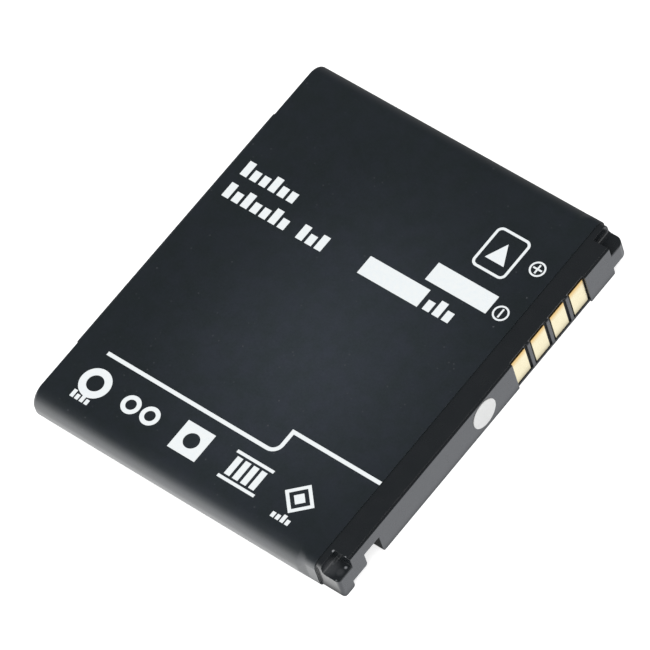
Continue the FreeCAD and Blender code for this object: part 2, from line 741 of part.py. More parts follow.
def make_contact_cap(contact_count=4):
    """Moulded cap: collar into the label, board bay, contact window and latch feet."""
    body = new_body("contact_cap")
    can_section = (CAN_WIDTH, CAN_THICKNESS, CAN_RADIUS)
    collar_section = ("Sizes.collar_width", CAN_THICKNESS, "Sizes.collar_radius")
    blend_sections(body, "collar_blend", "Additive", can_section, collar_section, MOUTH, COLLAR_START)
    collar = new_sketch(body, "collar", "YZ_Plane", z=COLLAR_START, y=MIDDLE_Z)
    rounded_rectangle(collar, *collar_section)
    pad(body, collar, f"{SHOULDER} - {COLLAR_START}")
    plan = new_sketch(body, "block_plan", "XY_Plane")
    outline(plan, [
        (SHOULDER, f"-{CAP_END}"),
        (f"{FRONT} - Sizes.cap_corner", f"-{CAP_END}"),
        (FRONT, f"-{CAP_END} + Sizes.cap_corner", "Sizes.cap_corner", "left"),
        (FRONT, f"{CAP_END} - Sizes.tab_corner"),
        (f"{FRONT} - Sizes.tab_corner", CAP_END, "Sizes.tab_corner", "left"),
        (SHOULDER, CAP_END),
    ])
    pad(body, plan, CAP_TOP)

    inside = new_sketch(body, "collar_inside", "YZ_Plane", z=MOUTH, y=MIDDLE_Z)
    rounded_rectangle(
        inside,
        "(Sizes.collar_width - 2 * Sizes.collar_wall)",
        f"({CAN_THICKNESS} - 2 * Sizes.collar_wall)",
        f"({CAN_RADIUS} - Sizes.collar_wall)",
    )
    pocket(body, inside, f"{SHOULDER} - {MOUTH}", backwards=True)
    bay = new_sketch(body, "board_bay", "YZ_Plane", z=SHOULDER)
    box_outline(
        bay,
        "Sizes.board_near - Sizes.bay_clearance", "Sizes.board_far + Sizes.bay_clearance",
        "Sizes.floor", f"{CAP_TOP} - Sizes.roof",
    )
    pocket(body, bay, f"{BOARD_FRONT} - {SHOULDER}", backwards=True)

    brow = new_sketch(body, "front_brow", "XZ_Plane", z=CAP_END)
    box_outline(
        brow, f"{FRONT} - Sizes.brow_depth", FRONT, f"{CAP_TOP} - Sizes.brow_drop", CAP_TOP)
    pocket(body, brow, "Sizes.cap_length")

    window = new_sketch(body, "contact_window", "YZ_Plane", z=FRONT)
    box_outline(window, "Sizes.window_near", "Sizes.window_far", "Sizes.floor", CAP_TOP)
    pocket(body, window, "Sizes.front_wall")
    sill = new_sketch(body, "window_sill", "YZ_Plane", z=FRONT)
    box_outline(sill, "Sizes.window_near", "Sizes.window_far", "0", "Sizes.floor")
    pocket(body, sill, "Sizes.sill_recess")

    divider_count = contact_count - 1
    first_divider = f"(Sizes.contact_centre - Sizes.contact_pitch * {(divider_count - 1) / 2})"
    divider = new_sketch(body, "divider", "XZ_Plane", z=f"-{first_divider}")
    divider_front = f"{BOARD_FRONT} + Sizes.divider_depth"
    outline(divider, [
        (BOARD_FRONT, "Sizes.floor"),
        (f"{FRONT} - Sizes.sill_recess", "Sizes.floor"),
        (divider_front, f"Sizes.floor + {divider_front} - ({FRONT} - Sizes.sill_recess)"),
        (divider_front, f"{CAP_TOP} - Sizes.divider_round"),
        (f"{divider_front} - Sizes.divider_round", CAP_TOP, "Sizes.divider_round", "left"),
        (BOARD_FRONT, CAP_TOP),
    ])
    one_divider = pad(body, divider, "Sizes.divider_width", side="Symmetric")
    dividers = body.newObject("PartDesign::LinearPattern", "dividers")
    dividers.Originals = [one_divider]
    dividers.Direction = (origin_feature(body, "Y_Axis"), [""])
    dividers.Mode = "Spacing"
    dividers.setExpression("Offset", "Sizes.contact_pitch")
    dividers.Occurrences = divider_count
    body.Tip = dividers

    shelf = new_sketch(body, "end_shelf", "XZ_Plane", z=CAP_END)
    outline(shelf, [
        (f"{FLANGE_FRONT} + Sizes.shelf_radius", "Sizes.shelf_height", "Sizes.shelf_radius", "left"),
        (f"{FRONT} - Sizes.shelf_front_round", "Sizes.shelf_height"),
        (FRONT, "Sizes.shelf_height - Sizes.shelf_front_round", "Sizes.shelf_front_round", "right"),
        (FRONT, CAP_TOP),
        (FLANGE_FRONT, CAP_TOP),
        (FLANGE_FRONT, "Sizes.shelf_height + Sizes.shelf_radius"),
    ])
    far_shelf = pocket(body, shelf, "Sizes.shelf_length")
    far_flange = round_corner(
        body, "flange_corner", CAP_END, CAP_TOP, -1, -1, "Sizes.flange_round",
        FLANGE_FRONT, "Sizes.flange_depth")
    shelves = body.newObject("PartDesign::Mirrored", "both_shelves")
    shelves.Originals = [far_shelf, far_flange]
    shelves.MirrorPlane = (origin_feature(body, "XZ_Plane"), [""])
    body.Tip = shelves

    latch = new_sketch(body, "latch_notch", "XY_Plane")
    box_outline(latch, f"{FRONT} - Sizes.latch_depth", FRONT, LATCH_NEAR, LATCH_FAR)
    pocket(body, latch, "Sizes.latch_height", backwards=True)
    relief = new_sketch(body, "relief_notch", "XY_Plane")
    box_outline(relief, f"{FRONT} - Sizes.relief_depth", FRONT, RELIEF_NEAR, LATCH_NEAR)
    pocket(body, relief, "Sizes.relief_height", backwards=True)
    heel = new_sketch(body, "heel_step", "XY_Plane")
    box_outline(heel, FLANGE_FRONT, FRONT, HEEL_START, CAP_END)
    pocket(body, heel, "Sizes.heel_height", backwards=True)

    near_end = f"-{CAP_END}"
    latch, relief = "Sizes.latch_depth", "Sizes.relief_depth"
    heel = f"({FRONT} - {FLANGE_FRONT})"
    corners = (
        ("foot_corner", near_end, "0", 1, "Sizes.foot_radius", "Sizes.cap_depth"),
        ("relief_corner", RELIEF_NEAR, "0", -1, "Sizes.relief_round", relief),
        ("catch_corner", LATCH_NEAR, "Sizes.relief_height", -1, "Sizes.relief_round", relief),
        ("latch_corner", LATCH_FAR, "0", 1, "Sizes.latch_round", latch),
        ("heel_corner", HEEL_START, "0", -1, "Sizes.heel_round", heel),
        ("tab_corner", CAP_END, "Sizes.heel_height", -1, "Sizes.heel_radius", heel),
    )
    for name, y, z, side, radius, depth in corners:
        round_corner(body, name, y, z, side, 1, radius, FRONT, depth)


def make_label_wrap():
    """Printed film around the can and the collar, with a flap folded on the closed end."""
    body = new_body("label_wrap")
    outside = ("Sizes.pack_width", "Sizes.pack_thickness", "Sizes.corner_radius")
    section = new_sketch(body, "label_section", "YZ_Plane", y=MIDDLE_Z)
    rounded_rectangle(section, *outside)
    outer = pad(body, section, MOUTH)
    rounded = round_closed_end(body, outer, "0", "Sizes.end_radius")
    document.recompute()
    open_end = number(MOUTH)
    faces = rounded.Shape.Faces
    mouth = [f"Face{i}" for i, face in enumerate(faces, start=1) if near(face.BoundBox.XMin, open_end)]
    skin = body.newObject("PartDesign::Thickness", "label_skin")
    skin.Base = (rounded, mouth)
    skin.setExpression("Value", "Sizes.label_film")
    skin.Reversed = True
    over_collar = (
        "(Sizes.collar_width + 2 * Sizes.label_film)",
        "Sizes.pack_thickness",
        "(Sizes.collar_radius + Sizes.label_film)",
    )
    blend_sections(body, "label_blend", "Additive", outside, over_collar, MOUTH, COLLAR_START)
    cuff = new_sketch(body, "label_cuff", "YZ_Plane", z=COLLAR_START, y=MIDDLE_Z)
    rounded_rectangle(cuff, *over_collar)
    pad(body, cuff, f"Sizes.label_length - {COLLAR_START}")
    inside = (CAN_WIDTH, CAN_THICKNESS, CAN_RADIUS)
    round_collar = ("Sizes.collar_width", CAN_THICKNESS, "Sizes.collar_radius")
    blend_sections(body, "label_inner_blend", "Subtractive", inside, round_collar, MOUTH, COLLAR_START)
    hollow = new_sketch(body, "label_cuff_inside", "YZ_Plane", z=COLLAR_START, y=MIDDLE_Z)
    rounded_rectangle(hollow, *round_collar)
    pocket(body, hollow, f"Sizes.label_length - {COLLAR_START}", backwards=True)
    seam = new_sketch(body, "label_seam", "XZ_Plane", z="-Sizes.pack_width / 2")
    box_outline(
        seam,
        "Sizes.seam_start", MOUTH,
        f"{MIDDLE_Z} - Sizes.seam_gap / 2", f"{MIDDLE_Z} + Sizes.seam_gap / 2",
    )
    pocket(body, seam, "Sizes.label_film", backwards=True)
    flap = new_sketch(body, "label_flap", "XZ_Plane")
    flap_radius = "(Sizes.end_radius + Sizes.flap_step)"
    inner_radius = "(Sizes.end_radius - Sizes.label_film / 2)"
    outline(flap, [
        ("Sizes.end_radius", "Sizes.pack_thickness"),
        ("-Sizes.flap_step", f"Sizes.pack_thickness - {flap_radius}", flap_radius, "left"),
        ("-Sizes.flap_step", "Sizes.flap_lift"),
        ("Sizes.label_film / 2", "Sizes.flap_lift"),
        ("Sizes.label_film / 2", "Sizes.pack_thickness - Sizes.end_radius"),
        ("Sizes.end_radius", "Sizes.pack_thickness - Sizes.label_film / 2", inner_radius, "right"),
    ])
    pad(body, flap, "Sizes.flap_width", side="Symmetric")


def diamond(sketch, size, x, y):
    """Square on its corner."""
    outline(sketch, [
        (f"{x} - {size} / 2", y), (x, f"{y} - {size} / 2"),
        (f"{x} + {size} / 2", y), (x, f"{y} + {size} / 2"),
    ])


def cross(sketch, span, bar, x, y):
    """Plus sign of two equal bars."""
    corners = []
    long, short = f"{span} / 2", f"{bar} / 2"
    for sign_x, sign_y, first in ((1, 1, True), (-1, 1, False), (-1, -1, True), (1, -1, False)):
        places = [
            (f"{x} + {sign_x} * {long}", f"{y} + {sign_y} * {short}"),
            (f"{x} + {sign_x} * {short}", f"{y} + {sign_y} * {short}"),
            (f"{x} + {sign_x} * {short}", f"{y} + {sign_y} * {long}"),
        ]
        corners += places if first else places[::-1]
    outline(sketch, corners)


def letter_blocks(sketch, pattern, x, y, scale="1"):
    """A line of print as plain blocks: T for a tall one, S for a short one."""
    for index, kind in enumerate(pattern):
        if kind not in "TS":
            continue
        left = f"{x} + Sizes.letter_pitch * {scale} * {index}"
        height = "Sizes.letter_tall" if kind == "T" else "Sizes.letter_short"
        box_outline(
            sketch, left, f"{left} + Sizes.letter_width * {scale}", y, f"{y} + {height} * {scale}")


def make_label_print(bar_count=4):
    """White ink on the label: rules, bare panels and plain shapes in place of words."""
    body = new_body("label_print", z="Sizes.pack_thickness")
    body.AllowCompound = True

    def printed(name, *draws):
        sketch = new_sketch(body, name, "XY_Plane")
        for draw in draws:
            draw(sketch)
        pad(body, sketch, "Sizes.ink")

    half = "Sizes.rule_stroke / 2"
    step, bend = "Sizes.rule_step", "Sizes.rule_bend"
    printed("stepped_rule", lambda sketch: outline(sketch, [
        ("Sizes.rule_start", f"Sizes.rule_low - {half}"),
        (f"{step} - {bend}", f"Sizes.rule_low - {half}"),
        (f"{step} + {half}", f"Sizes.rule_low + {bend}", f"{bend} + {half}", "left"),
        (f"{step} + {half}", f"Sizes.rule_high - {half}"),
        ("Sizes.label_length", f"Sizes.rule_high - {half}"),
        ("Sizes.label_length", f"Sizes.rule_high + {half}"),
        (f"{step} - {half}", f"Sizes.rule_high + {half}"),
        (f"{step} - {half}", f"Sizes.rule_low + {bend}"),
        (f"{step} - {bend}", f"Sizes.rule_low + {half}", f"{bend} - {half}", "right"),
        ("Sizes.rule_start", f"Sizes.rule_low + {half}"),
    ]))
    printed("panels", *(
        lambda sketch, name=name: rectangle(
            sketch, "Sizes.panel_length", "Sizes.panel_width", f"Sizes.{name}_x", f"Sizes.{name}_y")
        for name in ("panel_1", "panel_2")
    ))
    delta = "Sizes.delta_size / 2"
    inset = "2 * Sizes.frame_stroke"
    printed(
        "frame",
        lambda sketch: rounded_rectangle(
            sketch, "Sizes.frame_length", "Sizes.frame_width", "Sizes.frame_corner",
            "Sizes.frame_x", "Sizes.frame_y"),
        lambda sketch: rounded_rectangle(
            sketch, f"(Sizes.frame_length - {inset})", f"(Sizes.frame_width - {inset})",
            "(Sizes.frame_corner - Sizes.frame_stroke)", "Sizes.frame_x", "Sizes.frame_y"),
        lambda sketch: outline(sketch, [
            (f"Sizes.frame_x - {delta}", f"Sizes.frame_y - {delta}"),
            (f"Sizes.frame_x + {delta}", f"Sizes.frame_y - {delta}"),
            ("Sizes.frame_x", f"Sizes.frame_y + {delta}"),
        ]),
    )
    ring_hole = "(Sizes.sign_diameter - 2 * Sizes.sign_stroke)"
    for name in ("plus", "minus"):
        place = f"Sizes.{name}_y"
        printed(
            name + "_ring",
            lambda sketch: circle(sketch, "Sizes.sign_diameter", "Sizes.sign_x", place),
            lambda sketch: circle(sketch, ring_hole, "Sizes.sign_x", place),
        )
    printed("plus_sign", lambda sketch: cross(
        sketch, "Sizes.sign_bar", "Sizes.sign_stroke", "Sizes.sign_x", "Sizes.plus_y"))
    printed("minus_sign", lambda sketch: rectangle(
        sketch, "Sizes.sign_stroke", "Sizes.sign_bar", "Sizes.sign_x", "Sizes.minus_y"))
    lines = (
        ("title_1", "TSSTSS", "Sizes.title_x", "1"),
        ("title_2", "TSTSSTS TST", "Sizes.title_x", "1"),
        ("unit", "STS", "Sizes.unit_x", "1"),
        ("caption_1", "TSTS", "Sizes.caption_1_x", "Sizes.small_scale"),
        ("caption_2", "SSTS", "Sizes.caption_2_x", "Sizes.small_scale"),
    )
    for name, pattern, x, scale in lines:
        y = "Sizes.caption_y" if name.startswith("caption") else f"Sizes.{name}_y"
        printed(name + "_line", lambda sketch: letter_blocks(sketch, pattern, x, y, scale))

    row = "Sizes.mark_row"
    printed(
        "disc_mark",
        lambda sketch: circle(sketch, "Sizes.mark_size", "Sizes.disc_mark_x", row),
        lambda sketch: circle(sketch, "Sizes.disc_mark_hole", "Sizes.disc_mark_x", row),
    )
    for place in ("Sizes.ring_mark_1_x", "Sizes.ring_mark_2_x"):
        printed(
            "ring_mark",
            lambda sketch: circle(sketch, "Sizes.ring_mark_diameter", place, row),
            lambda sketch: circle(sketch, "Sizes.ring_mark_hole", place, row),
        )
    printed(
        "square_mark",
        lambda sketch: rectangle(
            sketch, "Sizes.mark_size", "Sizes.mark_size", "Sizes.square_mark_x", row),
        lambda sketch: circle(sketch, "Sizes.square_mark_hole", "Sizes.square_mark_x", row),
    )
    bar_edge = "(Sizes.mark_size / 2 - Sizes.mark_stroke / 2)"
    for side in (-1, 1):
        printed("long_bar", lambda sketch: rectangle(
            sketch, "Sizes.bars_mark_length", "Sizes.mark_stroke",
            "Sizes.bars_mark_x", f"{row} + {side} * {bar_edge}"))
    for copy in range(bar_count):
        place = f"Sizes.bars_mark_x + Sizes.bars_mark_pitch * {copy - (bar_count - 1) / 2}"
        printed("short_bar", lambda sketch: rectangle(
            sketch, "Sizes.bars_mark_stroke", "Sizes.bars_mark_bar", place, row))
    printed(
        "diamond_mark",
        *(lambda sketch, part=part: diamond(
            sketch, f"Sizes.diamond_mark_{part}", "Sizes.diamond_mark_x", "Sizes.diamond_mark_y")
          for part in ("size", "hole", "core")),
    )


def make_moisture_disc():
    """Round paper spot on the front of the cap that shows whether it has been wet."""
    body = new_body("moisture_disc", FRONT, "0", "Sizes.disc_height")
    face = new_sketch(body, "disc_face", "YZ_Plane")
    circle(face, "Sizes.disc_diameter")
    pad(body, face, "Sizes.disc_thickness")


def write_parts():
    """Write one STEP file a piece, once every object is sound."""
    document.recompute()
    for item in document.Objects:
        if "Invalid" in item.State or "Error" in item.State:
            raise RuntimeError(f"{item.Label} failed: {item.State}")
    for body in nodes:
        if body.Shape.isNull() or not body.Shape.isValid():
            raise RuntimeError(f"{body.Label} has no sound shape")
    os.makedirs("parts", exist_ok=True)
    for body in nodes:
        body.Shape.exportStep(f"parts/{body.Label}.step")


make_cell_can()
make_jelly_roll()
make_roll_insulator()
make_inner_tab("negative_inner_tab", "Sizes.negative_tab_y", PLATE_INSIDE)
make_inner_tab("positive_inner_tab", "Sizes.positive_tab_y", LID_INSIDE)
make_lid_terminal()
make_cap_wiring()
make_board_parts()
make_contacts()
make_contact_cap()
make_label_wrap()
make_label_print()
make_moisture_disc()
write_parts()
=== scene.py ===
import json
import math

import bmesh
import bpy
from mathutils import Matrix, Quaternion, Vector


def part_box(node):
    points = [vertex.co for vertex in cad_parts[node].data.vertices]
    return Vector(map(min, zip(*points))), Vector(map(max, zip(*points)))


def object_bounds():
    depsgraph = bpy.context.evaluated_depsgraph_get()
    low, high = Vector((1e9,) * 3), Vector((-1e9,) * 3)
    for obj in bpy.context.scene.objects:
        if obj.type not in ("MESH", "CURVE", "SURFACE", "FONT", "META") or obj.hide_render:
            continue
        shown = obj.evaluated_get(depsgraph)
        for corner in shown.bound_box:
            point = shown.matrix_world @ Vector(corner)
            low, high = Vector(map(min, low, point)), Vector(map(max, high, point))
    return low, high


# Slim black phone battery: printed film over a flat can, with a moulded contact cap.
# Row frame: +X towards the contacts, +Y along the contact edge, +Z out of the print.
# Lengths are in metres, and in millimetres where a name ends in _MM or a comment says so.

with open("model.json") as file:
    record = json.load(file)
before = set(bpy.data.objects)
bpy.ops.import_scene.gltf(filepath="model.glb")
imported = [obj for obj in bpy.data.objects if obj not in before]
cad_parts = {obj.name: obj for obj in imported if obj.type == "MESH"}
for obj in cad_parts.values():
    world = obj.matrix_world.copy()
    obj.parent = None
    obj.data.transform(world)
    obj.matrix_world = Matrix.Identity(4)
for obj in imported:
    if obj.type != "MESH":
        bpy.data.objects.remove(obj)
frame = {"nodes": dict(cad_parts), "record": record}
CAD_BOX = [list(corner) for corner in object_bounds()]
MM = 0.001


def box_mm(node):
    """Lowest and highest corner of a CAD node, in millimetres."""
    return [[side / MM for side in corner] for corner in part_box(node)]


LABEL_FRONT_MM = box_mm("label_wrap")[1][0]
CAP_LOW_MM, CAP_HIGH_MM = box_mm("contact_cap")
CONTACT_TOP_MM = box_mm("contact_pad_1")[1][2]


# Camera, fitted to the photograph (angles in degrees)

AIM = Vector((-0.4215, -0.33, 2.25)) * MM
CAMERA_DISTANCE = 694.575 * MM
CAMERA_AZIMUTH, CAMERA_ELEVATION, CAMERA_ROLL = 55.541, 55.774, 20.1385
CAMERA_LENS, CAMERA_SENSOR = 383.575, 36.0
CAMERA_CLIP = 0.01, 20.0


def direction(azimuth, elevation):
    """Unit vector from the pack towards a viewer at these angles in degrees."""
    turn, height = math.radians(azimuth), math.radians(elevation)
    return Vector((
        math.sin(turn) * math.cos(height), -math.cos(turn) * math.cos(height), math.sin(height)))


def look_at_pack(thing, back, distance):
    """Put a camera or lamp in the scene, this far back from the pack and facing it."""
    thing.location = AIM + back * distance
    thing.rotation_mode = "QUATERNION"
    thing.rotation_quaternion = (-back).to_track_quat("-Z", "Y")
    bpy.context.scene.collection.objects.link(thing)


def make_camera():
    """Camera at the photograph's angle, rolled as the photograph is."""
    data = bpy.data.cameras.new("camera")
    data.lens, data.sensor_width = CAMERA_LENS, CAMERA_SENSOR
    data.clip_start, data.clip_end = CAMERA_CLIP
    camera = bpy.data.objects.new("camera", data)
    look_at_pack(camera, direction(CAMERA_AZIMUTH, CAMERA_ELEVATION), CAMERA_DISTANCE)
    roll = Quaternion((0, 0, 1), -math.radians(CAMERA_ROLL))
    camera.rotation_quaternion = camera.rotation_quaternion @ roll
    bpy.context.scene.camera = camera


# Node helpers

class Nodes:
    """Short way to add and link shader nodes of one material or world."""

    def __init__(self, tree):
        self.tree = tree
        tree.nodes.clear()

    def add(self, kind, settings=None, **inputs):
        node = self.tree.nodes.new("ShaderNode" + kind)
        for name, value in (settings or {}).items():
            setattr(node, name, value)
        for name, value in inputs.items():
            self.put(node, name.replace("_", " "), value)
        return node

    def put(self, node, name, value):
        """Set a socket, given by name or number, to a value or link an output to it."""
        socket = node.inputs[int(name)] if name.isdigit() else node.inputs[name]
        if isinstance(value, bpy.types.NodeSocket):
            self.tree.links.new(value, socket)
        else:
            socket.default_value = value

    def math(self, operation, first, second):
        node = self.add("Math", {"operation": operation})
        self.put(node, "0", first)
        self.put(node, "1", second)
        return node.outputs[0]

    def vector(self, operation, first, second=(0, 0, 0), output="Vector"):
        node = self.add("VectorMath", {"operation": operation})
        self.put(node, "0", first)
        self.put(node, "1", second)
        return node.outputs[output]

    def fade(self, value, low, high):
        """Smooth step of a value from 0 at low to 1 at high."""
        node = self.add("MapRange", {"interpolation_type": "SMOOTHSTEP"}, Value=value)
        node.inputs["From Min"].default_value = low
        node.inputs["From Max"].default_value = high
        return node.outputs["Result"]

    def ramp(self, value, *stops):
        """Ramp through (position, grey or colour) stops."""
        node = self.add("ValToRGB", Fac=value)
        elements = node.color_ramp.elements
        while len(elements) < len(stops):
            elements.new(0.5)
        for element, (position, colour) in zip(elements, stops):
            element.position = position
            element.color = colour if isinstance(colour, tuple) else grey(colour)
        return node.outputs["Color"]

    def between(self, noise, first, second, low=0.3, high=0.7):
        """From one grey or colour to another over the middle of a noise."""
        return self.ramp(noise, (low, first), (high, second))

    def place(self, scale=(1, 1, 1)):
        """Object coordinates in millimetres, stretched by a scale."""
        coordinates = self.add("TexCoord").outputs["Object"]
        factor = tuple(1 / MM * s for s in scale)
        return self.add("Mapping", Vector=coordinates, Scale=factor).outputs["Vector"]

    def axis(self, vector, name):
        return self.add("SeparateXYZ", Vector=vector).outputs[name]

    def noise(self, vector, scale, detail=2.0, roughness=0.5):
        node = self.add("TexNoise", Vector=vector, Scale=scale, Detail=detail, Roughness=roughness)
        return node.outputs["Fac"]

    def blend(self, factor, first, second):
        node = self.add("Mix", {"data_type": "RGBA"})
        self.put(node, "0", factor)
        self.put(node, "6", first)
        self.put(node, "7", second)
        return node.outputs[2]

    def bump(self, height, strength, depth_mm, edge=0.0):
        """Fine relief, on edges that are softened by a radius."""
        relief = self.add("Bump", Height=height, Strength=strength, Distance=depth_mm * MM)
        if edge:
            soft = self.add("Bevel", {"samples": 6}, Radius=edge)
            self.put(relief, "Normal", soft.outputs[0])
        return relief.outputs["Normal"]


def grey(value):
    return (value, value, value, 1)


def material(name):
    made = bpy.data.materials.new(name)
    made.use_nodes = True
    return made, Nodes(made.node_tree)


def surface(nodes, **inputs):
    """Principled surface with these inputs, as the material's output."""
    shader = nodes.add("BsdfPrincipled")
    for name, value in inputs.items():
        nodes.put(shader, name.replace("_", " "), value)
    nodes.add("OutputMaterial", Surface=shader.outputs[0])


# Film of the label

FILM = (0.0142, 0.02, 0.0245, 1), (0.0165, 0.0227, 0.028, 1)
# Lighter film colours of a painted sheen in the middle of the print, with its centre, half spans
# and reach.
PAINTED_SHEEN = (0.032, 0.041, 0.0515, 1), (0.0345, 0.0435, 0.055, 1)
PAINTED_SHEEN_CENTRE_MM, PAINTED_SHEEN_HALF_MM, PAINTED_SHEEN_REACH = (2.2, -5.0), (12, 15), 1.75
BLOTCH = (0.86, 0.94, 0.84, 1), (1.14, 1.06, 1.2, 1)
GRAIN = 0.76, 1.24
DUST = (0.075, 0.08, 0.09, 1)
FILM_ROUGH = 0.3, 0.34
FILM_EDGE, CUFF_EDGE = 0.06 * MM, 0.4 * MM
CUFF_START_MM, CUFF_END_MM = (-3.2, -2.6), (-0.6, -1.0)


def film_with_painted_sheen(nodes, place):
    """Film colour with a painted sheen: lighter towards the middle of the print."""
    across, along = PAINTED_SHEEN_HALF_MM
    offset = nodes.add(
        "Mapping", Vector=place, Scale=(1 / across, 1 / along, 0),
        Location=(-PAINTED_SHEEN_CENTRE_MM[0] / across, -PAINTED_SHEEN_CENTRE_MM[1] / along, 0))
    away = nodes.vector("LENGTH", offset.outputs["Vector"], output="Value")
    cloud = nodes.noise(place, 0.09, 3)
    return nodes.blend(
        nodes.fade(away, PAINTED_SHEEN_REACH, 0.0),
        nodes.between(cloud, *FILM), nodes.between(cloud, *PAINTED_SHEEN))


def specks(nodes, place, cells, size, patches, detail, patch_fade, strength):
    """Dust specks, one in some of the cells, where a slow noise is high."""
    voronoi = nodes.add("TexVoronoi", Vector=place, Scale=cells)
    speck = nodes.fade(voronoi.outputs["Distance"], *size)
    patch = nodes.fade(nodes.noise(place, patches, detail), *patch_fade)
    return nodes.math("MULTIPLY", nodes.math("MULTIPLY", speck, patch), strength)


def cuff_edge(nodes, place):
    """Edge radius of the film, larger where the label blends into the cap's collar."""
    x = nodes.axis(place, "X")
    start, end = (
        nodes.fade(x, LABEL_FRONT_MM + low, LABEL_FRONT_MM + high)
        for low, high in (CUFF_START_MM, CUFF_END_MM))
    extra = nodes.math("MULTIPLY", nodes.math("MULTIPLY", start, end), CUFF_EDGE)
    return nodes.math("ADD", FILM_EDGE, extra)


def film_material():
    """Black printed film: satin, with a fine ripple, a painted sheen in the middle and faint dust.
    """
    made, nodes = material("label_film")
    place = nodes.place()
    dust = nodes.math(
        "MAXIMUM",
        specks(nodes, place, 0.55, (0.07, 0.03), 0.23, 1, (0.53, 0.6), 1.0),
        specks(nodes, place, 1.1, (0.14, 0.05), 0.35, 2, (0.5, 0.62), 0.6))
    grain = nodes.between(nodes.noise(place, 5.0, 3, 0.7), *GRAIN)
    blotch = nodes.between(nodes.noise(place, 0.5, 3, 0.6), *BLOTCH, 0.35, 0.65)
    mottled = nodes.vector("MULTIPLY", film_with_painted_sheen(nodes, place), nodes.blend(0.5, grain, blotch))
    smear = nodes.noise(nodes.place((0.6, 1.0, 1.0)), 0.5, 4)
    surface(
        nodes, Base_Color=nodes.blend(dust, mottled, DUST), IOR=1.5,
        Roughness=nodes.between(smear, *FILM_ROUGH), Coat_Weight=0.4, Coat_Roughness=0.3,
        Normal=nodes.bump(nodes.noise(place, 1.4, 3), 0.12, 0.02, cuff_edge(nodes, place)))
    return made


# Ink, cap, contacts and spot

INK = (0.92, 0.975, 1.0, 1), (0.97, 1.0, 1.0, 1)
CAP = (0.0155, 0.0185, 0.0215, 1), (0.0175, 0.0205, 0.0235, 1)
CAP_ROUGH = 0.22, 0.28
CAP_EDGE = 0.12 * MM
# Colour of the painted highlights on the near end shelf's corners and the painted sheen on its
# floor.
PAINTED_HIGHLIGHT = (0.36, 0.37, 0.39, 1)
GOLD = (0.93, 0.825, 0.54, 1), (0.965, 0.87, 0.59, 1)
GOLD_UPPER_EDGE = (0.78, 0.49, 0.15, 1)
GOLD_EDGE_MM = -1.1, 0.1
GOLD_ROUGH = 0.24, 0.34
SPOT = (0.94, 0.95, 0.94, 1), (1.0, 1.0, 0.99, 1)

# How far the cap's box reaches past its near end shelf, in millimetres.
SHELF_INSET_MM = 0.17
# Places of painted highlights on that shelf: back from the front, in from the end, down from the
# top and radius, in millimetres, and strength. The last two are a painted sheen on its floor.
PAINTED_HIGHLIGHT_PLACES_MM = (
    (2.02, 2.44, 0.0, 0.2, 1.0),
    (0.58, 2.5, 0.0, 0.17, 1.0),
    (2.02, 0.38, 0.07, 0.15, 1.0),
    (0.5, 2.11, 1.24, 0.25, 0.9),
    (0.4, 0.45, 1.36, 0.14, 0.4),
    (1.9, 1.75, 1.36, 0.35, 0.2),
    (1.95, 1.3, 1.36, 1.4, 0.13),
    (0.72, 1.4, 1.36, 0.6, 0.09),
)
PAINTED_HIGHLIGHT_CORE = 0.3


def ink_material():
    """White ink, faintly blue, with the slight unevenness of a screen print."""
    made, nodes = material("print_ink")
    place = nodes.place()
    surface(
        nodes, Base_Color=nodes.between(nodes.noise(place, 2.2, 3), *INK), Roughness=0.45,
        IOR=1.5, Normal=nodes.bump(nodes.noise(place, 14.0, 2), 0.1, 0.01))
    return made


def shelf_painted_highlights(nodes, place):
    """Painted highlights on the near end shelf: strong on its corners, faint as a painted sheen on
    its floor.
    """
    front, end, top = CAP_HIGH_MM[0], CAP_LOW_MM[1] + SHELF_INSET_MM, CAP_HIGH_MM[2]
    highlights = 0.0
    for back, into, down, radius, strength in PAINTED_HIGHLIGHT_PLACES_MM:
        centre = (front - back, end + into, top - down)
        away = nodes.vector("DISTANCE", place, centre, output="Value")
        spot = nodes.fade(away, radius, PAINTED_HIGHLIGHT_CORE * radius)
        highlights = nodes.math("MAXIMUM", nodes.math("MULTIPLY", spot, strength), highlights)
    return highlights


def cap_material():
    """Moulded black plastic, satin with a fine spark-eroded grain, and painted highlights on the
    near end shelf.
    """
    made, nodes = material("cap_plastic")
    place = nodes.place()
    black = nodes.between(nodes.noise(place, 0.6, 2), *CAP)
    rough = nodes.between(nodes.noise(place, 1.1, 3), *CAP_ROUGH)
    # The base colour carries painted highlights on the near end shelf.
    surface(
        nodes, Base_Color=nodes.blend(shelf_painted_highlights(nodes, place), black, PAINTED_HIGHLIGHT),
        Roughness=rough, IOR=1.52, Coat_Weight=0.35, Coat_Roughness=0.12,
        Normal=nodes.bump(nodes.noise(place, 9.0, 3, 0.6), 0.1, 0.01, CAP_EDGE))
    return made


def gold_material():
    """Gold plate over nickel, softly polished, with fine scuffs along its length."""
    made, nodes = material("contact_gold")
    place = nodes.place()
    scuff = nodes.noise(nodes.place((1, 0.15, 1)), 9.0, 3)
    low, high = (CONTACT_TOP_MM + step for step in GOLD_EDGE_MM)
    edge = nodes.fade(nodes.axis(place, "Z"), low, high)
    surface(
        nodes, Base_Color=nodes.blend(edge, nodes.between(scuff, *GOLD), GOLD_UPPER_EDGE),
        Metallic=1.0, Roughness=nodes.between(nodes.noise(place, 2.5, 3), *GOLD_ROUGH),
        Normal=nodes.bump(scuff, 0.12, 0.01))
    return made


def spot_material():
    """White paper spot with fibres and a smooth face."""
    made, nodes = material("spot_paper")
    fibre = nodes.noise(nodes.place((1, 1, 0.3)), 7.0, 4, 0.65)
    surface(
        nodes, Base_Color=nodes.between(fibre, *SPOT), Roughness=0.3,
        Normal=nodes.bump(nodes.noise(nodes.place(), 11.0, 3), 0.25, 0.02))
    return made


# What lies inside: metals by (dark, light, roughness range), others by
# (dark, light, roughness, mottling per millimetre, coat)

